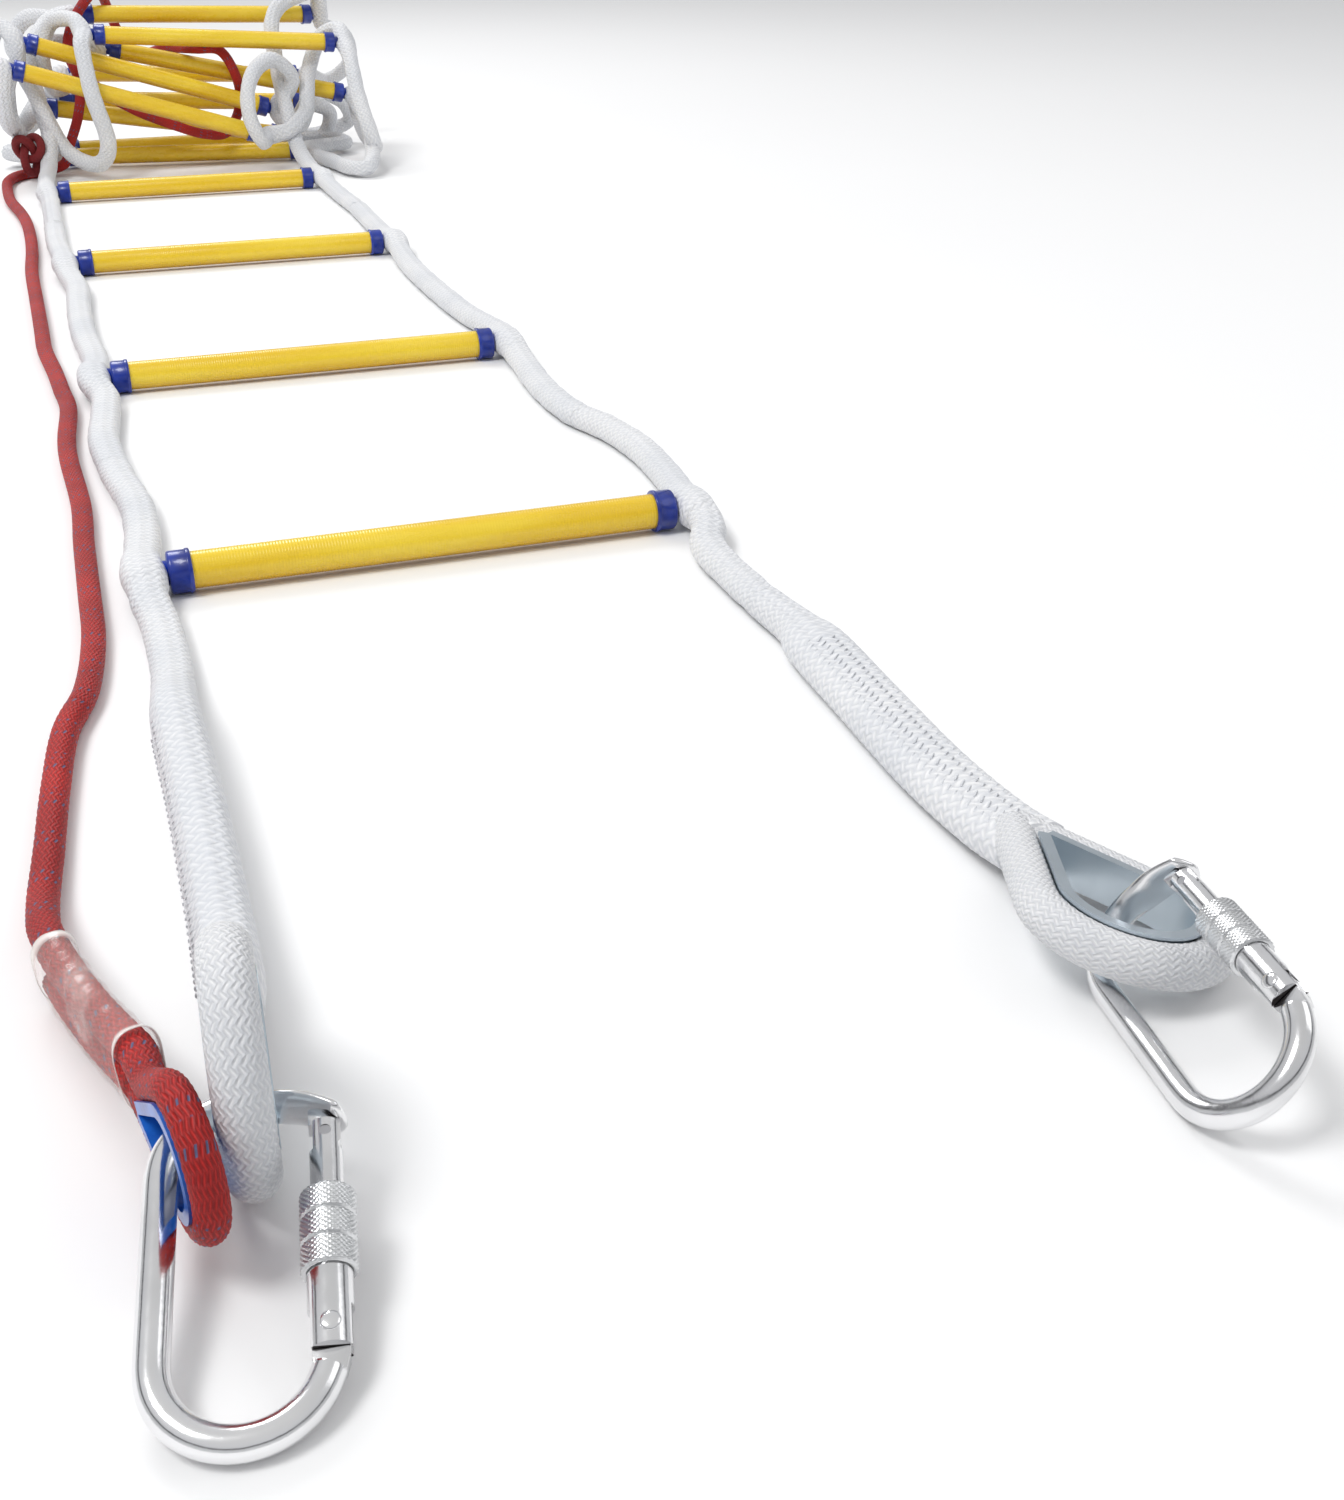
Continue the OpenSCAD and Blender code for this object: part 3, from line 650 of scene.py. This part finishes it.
def joined(name, meshes, material):
    """One piece from several meshes."""
    corners, faces, uvs, base = [], [], [], 0
    for mesh in meshes:
        corners += [tuple(v.co) for v in mesh.vertices]
        faces += [[base + v for v in p.vertices] for p in mesh.polygons]
        uvs += [tuple(d.uv) for d in mesh.uv_layers[0].data]
        base += len(mesh.vertices)
        bpy.data.meshes.remove(mesh)
    whole = bpy.data.meshes.new(name)
    whole.from_pydata(corners, [], faces)
    whole.uv_layers.new(name="run").data.foreach_set("uv", np.array(uvs).ravel())
    return piece(name, whole, material)


def doubled(tail, start):
    """The doubled part of a tail: its width steps up where the folded end lies on it."""
    path = stepped(smooth(tail, 16), 1.0)
    return path[path[:, 1] <= start]


def tails(tail_cloth, eye_cloth, thread):
    slope = math.asin(THIMBLE_R / THROAT_D)
    radius = THIMBLE_R + THIMBLE_WEB + 0.2 + EYE_ROPE_D / 2
    for word, tail, pose in (("left", LEFT_TAIL, LEFT_EYE), ("right", RIGHT_TAIL, RIGHT_EYE)):
        body = f"{word}_tail"
        path = doubled(tail, -588)
        ends = path[-1, 1]
        close = np.clip((path[:, 1] - ends) / 16, 0, 1) ** 0.5
        path[:, 3] *= 0.72 + 0.28 * close if word == "left" else 1
        weave = lambda run, around: 0.28 * plait(run, around, 6.4, 14) - 0.14
        made = rope(f"{word}_sewn_tail", path[:, :3], path[:, 3], path[:, 4], tail_cloth, sides=84,
                    square=2.5, ridge=0.35, relief=weave)
        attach(made, body)
        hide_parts(f"{word}_tail_rope")
        ring = eased(stepped(eye_route(radius, slope, EYE_LIMB + 10, 60), 0.7), 36)
        coarse = lambda run, around: 0.34 * plait(run, around, EYE_PITCH, EYE_STRANDS) - 0.24
        up = posed([(0, 0, 1)], ((0, 0, 0), *pose[1:]))[0]
        made = rope(f"{word}_eye_rope", posed(ring, pose), EYE_ROPE_D, EYE_ROPE_D, eye_cloth, up=up,
                    sides=108, square=2.0, relief=coarse)
        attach(made, body)
    stitches("right_tail_stitches", doubled(RIGHT_TAIL, -648), (-0.30, -0.10, 0.10, 0.30), "right_tail",
             thread, True)
    stitches("left_tail_stitches", doubled(LEFT_TAIL, -640), (-0.27, 0.0, 0.27), "left_tail", thread, False)


# ---------------------------------------------------------------- red rope
def red_route():
    """The red rope from its end in the roll to the place where it leaves the floor."""
    route = [*reversed(RED_ROLL)]
    for bay in (3, 2, 1):
        route += RED_BAYS[bay - 1]
    route += RED_LEAD
    return stepped(smooth(route, 14), 1.2)


def red_ropes(material, knot_material):
    route = red_route()
    laid_from = np.where(route[:, 1] > ROLL_FOOT_Y)[0][-1]
    names = {620: ("red_side_rope_4", ["red_roll_rope"]), 265: ("red_side_rope_3", ["red_rope_3"]),
             -105: ("red_side_rope_2", ["red_rope_2"]), -465: ("red_side_rope_1", ["red_rope_1"])}
    for upper, lower, y, high, low in JOINTS:
        name, nodes = names[y]
        if high == IN_THE_ROLL:
            end = np.where(route[:, 1] < low)[0]
            stretch, lag = route[:end[end > laid_from][0] + 1], 0.0
        else:
            stretch, lag = cut(route[laid_from:], high + 1.4, low)
            lag += run_of(route)[laid_from]
        made = rope(name, stretch, RED_D, RED_D, material, sides=32, square=2.0, lag=lag)
        bend_at(made)
        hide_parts(*nodes)
    tail = red_tail_path(route)
    lag = run_of(route)[np.where(route[:, 1] < RED_TAIL_Y)[0][0]]
    weave = lambda run, around: 0.34 * plait(run, around, RED_PITCH, RED_STRANDS) - 0.17
    made = rope("red_tail", tail[:, :3], tail[:, 3], tail[:, 3], material, sides=96, square=2.0,
                relief=weave, lag=lag)
    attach(made, "left_tail")
    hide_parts("red_tail_rope")
    knot(knot_material)


def red_tail_path(route):
    """Along the floor, up into the sleeve, round the eye and back beside itself."""
    half = np.array([0, 0, STRAND_GAP / 2])
    sleeve = smooth(SLEEVE_ROUTE, 8)
    slope = math.asin(RED_THIMBLE_R / RED_THROAT_D)
    radius = RED_THIMBLE_R + RED_WEB + 0.2 + RED_EYE_D / 2
    ring = posed(eye_route(radius, slope, RED_LIMB, 40), RED_EYE)[::-1]
    lead = route[route[:, 1] <= RED_TAIL_Y]
    whole = np.vstack([lead, sleeve + half, ring, sleeve[::-1] - half])
    size = np.concatenate([np.full(len(lead) + len(sleeve), RED_D), np.full(len(ring), RED_EYE_D),
                           np.full(len(sleeve), RED_D)])
    return eased(stepped(np.column_stack([whole, size]), 0.9), 24)


def knot(material):
    """An overhand knot at the left foot of the roll."""
    t = np.linspace(0, math.tau, 241)[:-1]
    x = np.sin(t) + 2 * np.sin(2 * t)
    z = np.cos(t) - 2 * np.cos(2 * t)
    y = -np.sin(3 * t)
    centre, size = np.array((-147.0, 764.0, 30.0)), np.array((4.6, 5.0, 7.0))
    path = np.column_stack([x, y, z]) * size + centre
    rings, run = oval_rings(np.vstack([path[-1:], path, path[:1]]), 8.5, 8.5, sides=28, square=2.0,
                            relief=lambda run, around: 0.3 * plait(run, around, RED_PITCH, 8))
    made = piece("red_knot", tube_mesh("red_knot", put(rings[1:-1]), run[1:-1] * MM, closed=True), material)
    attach(made, "roll")


def film_sleeve(material):
    path = stepped(smooth(SLEEVE_ROUTE, 10), 0.8)
    share = run_of(path) / run_of(path)[-1]
    flare = 1 + 0.05 * np.exp(-(np.minimum(share, 1 - share) / 0.03) ** 2)
    crease = lambda run, around: 0.22 * np.sin(run / 3.1 + 4 * np.sin(math.tau * around)) \
        + 0.16 * np.sin(run / 1.3 + math.tau * 3 * around)
    outer, run = oval_rings(path, 13.2 * flare, 24.0 * flare, sides=56, square=2.6, relief=crease)
    inner, _ = oval_rings(path, 12.6 * flare, 23.4 * flare, sides=56, square=2.6, relief=crease)
    rings = np.concatenate([outer, inner[::-1]])
    made = piece("film_sleeve", tube_mesh("film_sleeve", put(rings), np.concatenate([run, run[::-1]]) * MM,
                                          closed=True), material)
    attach(made, "left_tail")
    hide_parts("clear_sleeve")


# ---------------------------------------------------------------- rungs and caps
def body_of_rung(number):
    return "roll" if number >= LAID else f"bay_{number}"


def rungs(resin, cap_finish):
    half, rib, inner = RUNG_SPAN / 2 - 2.5, 0.5, RUNG_SPAN / 2 - CAP_L
    along = np.arange(-half, half + rib / 2, rib)
    ribbed = TUBE_D / 2 - 0.12 * (0.5 - 0.5 * np.cos(math.tau * along / 1.5))
    outline = np.column_stack([along, ribbed])
    lip = CAP_D / 2
    wall = lip - 0.45
    cap = [(inner + 0.2, TUBE_D / 2 + 0.05), (inner, lip - 0.5), (inner + 0.25, lip - 0.1),
           (inner + 0.7, lip),
           (inner + 1.7, lip), (inner + 2.1, lip - 0.12), (inner + 2.4, wall), (RUNG_SPAN / 2 - 1.5, wall),
           (RUNG_SPAN / 2 - 0.8, wall - 0.15), (RUNG_SPAN / 2 - 0.25, wall - 0.6),
           (RUNG_SPAN / 2, wall - 1.3), (RUNG_SPAN / 2 + 0.1, 7.5), (RUNG_SPAN / 2 + 0.2, SPIGOT_D / 2),
           (RUNG_SPAN / 2 + 14, SPIGOT_D / 2)]
    for number in range(1, len(RUNG_AT) + 1):
        body = body_of_rung(number)
        tube = turned(f"rung_tube_{number}", outline, 36, resin, lambda p, n=number: at_rung(p, n))
        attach(tube, body)
        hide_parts(f"rung_{number}")
        for side, word in ((-1, "left"), (1, "right")):
            shape = [(side * x, r) for x, r in cap]
            made = turned(f"{word}_cap_{number}", shape, 64, cap_finish, lambda p, n=number: at_rung(p, n))
            if side < 0:
                made.data.flip_normals()
            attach(made, body)
            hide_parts(f"caps_{number}" if number <= LAID else "roll_caps")


# ---------------------------------------------------------------- hooks
def knurled_sleeve(word, pose, material):
    """Three knurled bands with smooth grooves between them, round the gate's neck."""
    sides, step = 144, 0.22
    along = np.arange(0, SLEEVE_L + step / 2, step)
    angle = math.tau * np.arange(sides) / sides
    band = SLEEVE_L / 3
    in_band = (along % band) / band
    edge = np.clip(np.minimum(in_band, 1 - in_band) / 0.09, 0, 1)
    edge = edge * edge * (3 - 2 * edge)
    slant = along[:, None] / 1.35
    teeth = 26
    first = np.abs(np.sin(math.pi * (slant + teeth * angle[None, :] / math.tau)))
    second = np.abs(np.sin(math.pi * (slant - teeth * angle[None, :] / math.tau)))
    outer_r = SLEEVE_D / 2 - 0.95 * (1 - edge[:, None]) \
        - 0.34 * edge[:, None] * (1 - np.minimum(first, second))
    bore = NECK_D / 2 + 0.4
    ends = [(0.0, bore), (0.0, SLEEVE_D / 2 - 1.1)]
    inner = [(SLEEVE_L, bore), (SLEEVE_L / 2, bore)]
    rows = [(a, np.full(sides, r)) for a, r in ends] + list(zip(along, outer_r)) \
        + [(SLEEVE_L, np.full(sides, SLEEVE_D / 2 - 1.1))] + [(a, np.full(sides, r)) for a, r in inner]
    rings = np.array([np.column_stack([HOOK_W + r * np.cos(angle), np.full(sides, SLEEVE_Y + a),
                                       r * np.sin(angle)]) for a, r in rows])
    run = np.array([a for a, _ in rows]) * MM
    shaped = put(posed(rings.reshape(-1, 3), pose)).reshape(rings.shape)
    mesh = tube_mesh(f"{word}_screw_sleeve", shaped, run, closed=True)
    mesh.flip_normals()
    made = piece(f"{word}_screw_sleeve", mesh, material)
    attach(made, f"{word}_sleeve")
    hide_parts(f"{word}_sleeve")


def plate(name, outline, thickness):
    """A flat plate in XY, half its thickness each side, with its points in order round it."""
    n, half = len(outline), thickness / 2
    points = [(x, y, -half) for x, y in outline] + [(x, y, half) for x, y in outline]
    faces = [list(range(n))[::-1], list(range(n, 2 * n))] \
        + [[i, (i + 1) % n, n + (i + 1) % n, n + i] for i in range(n)]
    mesh = bpy.data.meshes.new(name)
    mesh.from_pydata(points, [], faces)
    mesh.uv_layers.new(name="run")
    return mesh


def arc(centre, radius, start, end, steps):
    """Points on an arc in XY, in degrees."""
    angles = np.radians(np.linspace(start, end, steps + 1))
    return [(centre[0] + radius * math.cos(a), centre[1] + radius * math.sin(a)) for a in angles]


def hook_bar(word, pose, material):
    """One bent bar, flat at its nose, with the tongue that the gate shuts on and the gate's hinge tab."""
    line = arc((0, HOOK_LOW), HOOK_W, -14, -180, 36) + [(-HOOK_W, y) for y in np.linspace(-20, 22, 12)] \
        + arc((0, HOOK_TOP), HOOK_W, 180, 70, 30) + [(13.5, 44.2), (20, 41.4), (25.4, 37.6)]
    path = eased(stepped(np.column_stack([line, np.zeros(len(line))]), 0.8), 20)
    share = run_of(path) / run_of(path)[-1]
    flat = np.clip((share - 0.79) / 0.13, 0, 1)
    flat = flat * flat * (3 - 2 * flat)
    tip = np.clip((1 - share) / 0.02, 0.05, 1) ** 0.5
    thick, broad = BAR_D + (NOSE_THICK - BAR_D) * flat, BAR_D + (NOSE_BROAD - BAR_D) * flat
    rings, run = oval_rings(path, thick * tip, broad * tip, sides=48, square=2.0)
    bar = tube_mesh("bar", rings, run * MM)
    tongue = plate("tongue", [(15.8, 42), (15.8, 36.3), (20, 36.3), (20, 35.3), (18.3, 35.1), (18.3, 31.9),
                              (20, 31.7), (20, 30.9), (20.6, 30.4), (23, 30.6), (23.8, 31.4), (23.8, 38)],
                   TONGUE_H)
    tab = plate("tab", arc((HOOK_W, RIVET_Y), 4.5, 0, 180, 16)
                + [(15.6, -27), (16.5, -30.5), (23.2, -30.5), (24.1, -27)], TONGUE_H)
    made = joined(f"{word}_hook_bar", [bar, tongue, tab], material)
    shaped = put(posed([v.co[:] for v in made.data.vertices], pose))
    made.data.vertices.foreach_set("co", shaped.ravel())
    edge = made.modifiers.new("worn edge", "BEVEL")
    edge.width, edge.segments, edge.limit_method, edge.angle_limit = 0.0003, 2, "ANGLE", math.radians(50)
    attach(made, f"{word}_hook")
    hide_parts(f"{word}_hook")


def hook_places(points, pose):
    """Points of the frame, in metres, as places on a hook drawn flat."""
    axes = np.array(posed([(1, 0, 0), (0, 1, 0), (0, 0, 1)], ((0, 0, 0), *pose[1:])))
    return (np.array(points) / MM - HOME - np.array(pose[0])) @ axes.T


def darken(made, pose, reach, low, high, material):
    """Painted shade: the near-black shadow_steel on faces nearer to the gate's axis than reach, between two
    heights.
    """
    centres = [made.matrix_world @ p.center for p in made.data.polygons]
    places = hook_places(centres, pose)
    near = np.hypot(places[:, 0] - HOOK_W, places[:, 2]) < reach
    dark = near & (places[:, 1] > low) & (places[:, 1] < high)
    made.data.materials.append(material)
    for face, is_dark in zip(made.data.polygons, dark):
        if is_dark:
            face.material_index = 1


def rivet_heads(word, pose, material):
    """A domed head on each side of the gate's axle."""
    dome = [(5.0, 2.3), (5.4, 2.5), (5.55, 2.45), (5.8, 2.1), (6.0, 1.4), (6.05, 0.3)]
    for face, name in ((1, "upper"), (-1, "lower")):
        made = turned(f"{word}_rivet_{name}_head", [(face * x, r) for x, r in dome], 32, material,
                      lambda p: posed(np.array(p)[:, [1, 2, 0]] + (HOOK_W, RIVET_Y, 0), pose))
        if face < 0:
            made.data.flip_normals()
        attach(made, f"{word}_hook")


def dress(node, material):
    """Gives a node of the frame its finish."""
    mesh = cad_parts[node].data
    mesh.materials.clear()
    mesh.materials.append(material)


# ---------------------------------------------------------------- room
def studio_world():
    """A bright ceiling with one darker band low in it, for the steel to mirror."""
    world = bpy.data.worlds.new("studio")
    world.use_nodes = True
    nodes, links = world.node_tree.nodes, world.node_tree.links
    split, ramp = nodes.new("ShaderNodeSeparateXYZ"), nodes.new("ShaderNodeValToRGB")
    links.new(nodes.new("ShaderNodeTexCoord").outputs["Generated"], split.inputs[0])
    links.new(split.outputs["Z"], ramp.inputs["Fac"])
    stops = [(0.0, rgb(0.92, 0.93, 0.95)), (0.25, rgb(0.88, 0.89, 0.91)), (0.30, rgb(0.05, 0.05, 0.055)),
             (0.37, rgb(0.08, 0.08, 0.085)), (0.43, rgb(0.96, 0.97, 1.0)), (1.0, rgb(1.0, 1.0, 1.0))]
    while len(ramp.color_ramp.elements) < len(stops):
        ramp.color_ramp.elements.new(0.5)
    for element, (position, colour) in zip(ramp.color_ramp.elements, stops):
        element.position, element.color = position, colour
    links.new(ramp.outputs["Color"], nodes["Background"].inputs["Color"])
    nodes["Background"].inputs["Strength"].default_value = 0.66
    return world


def room():
    mesh = bpy.data.meshes.new("floor")
    reach = 14.0
    mesh.from_pydata([(-reach, -reach, 0), (reach, -reach, 0), (reach, reach, 0), (-reach, reach, 0)], [],
                     [(0, 1, 2, 3)])
    floor = piece("floor", mesh, studio_floor(), False)
    bpy.context.scene.world = studio_world()
    bpy.context.scene.view_settings.view_transform = "Standard"
    lamps = [("key", (-1.2, -0.9, 2.1), 0.8, 27), ("fill", (1.8, -0.9, 1.5), 1.3, 5),
             ("far", (-0.5, 2.1, 2.2), 1.2, 34)]
    for name, place, size, power in lamps:
        data = bpy.data.lights.new(name, "AREA")
        data.size, data.energy = size, power
        lamp = bpy.data.objects.new(name, data)
        lamp.location = place
        lamp.rotation_euler = (Vector((0, -0.1, 0)) - Vector(place)).to_track_quat("-Z", "Y").to_euler()
        bpy.context.scene.collection.objects.link(lamp)


make_camera()
red_ropes(red_braid(), knot_red())
side_ropes(white_braid("white_braid", 0.0055, 12, 0.0006, 0.35))
tails(white_braid("tail_braid", 0.0064, 14, 0.0006, 0.4),
      white_braid("eye_braid", EYE_PITCH * MM, EYE_STRANDS, 0.0006, 0.38), sewing_thread())
film_sleeve(clear_film())
rungs(rung_resin(), cap_plastic())
hook_steel = steel("hook_steel", rgb(0.88, 0.88, 0.89), 0.09, 0.16, 240.0, 0.00006)
pin_steel = steel("pin_steel", rgb(0.50, 0.50, 0.52), 0.28, 0.2, 300.0, 0.00008)
galvanised = steel("galvanised", rgb(0.68, 0.76, 0.82), 0.24, 0.25, 120.0, 0.00012)
shadow_steel = steel("shadow_steel", rgb(0.035, 0.030, 0.030), 0.35, 0.2, 300.0, 0.00008)
knurl_steel = steel("knurl_steel", rgb(0.80, 0.81, 0.82), 0.22, 0.2, 400.0, 0.00008)
for word, pose in (("left", LEFT_HOOK), ("right", RIGHT_HOOK)):
    knurled_sleeve(word, pose, knurl_steel)
    hook_bar(word, pose, hook_steel)
    dress(f"{word}_gate", hook_steel)
    # Painted shade: the gate's faces close to its axis get the near-black shadow_steel.
    darken(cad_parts[f"{word}_gate"], pose, SLOT_REACH, *GATE_ENDS, shadow_steel)
    rivet_heads(word, pose, hook_steel)
    for part in ("hook_rivet", "gate_pin", "gate_spring"):
        dress(f"{word}_{part}", pin_steel)
    dress(f"{word}_thimble", galvanised)
dress("red_thimble", blue_plastic())
room()
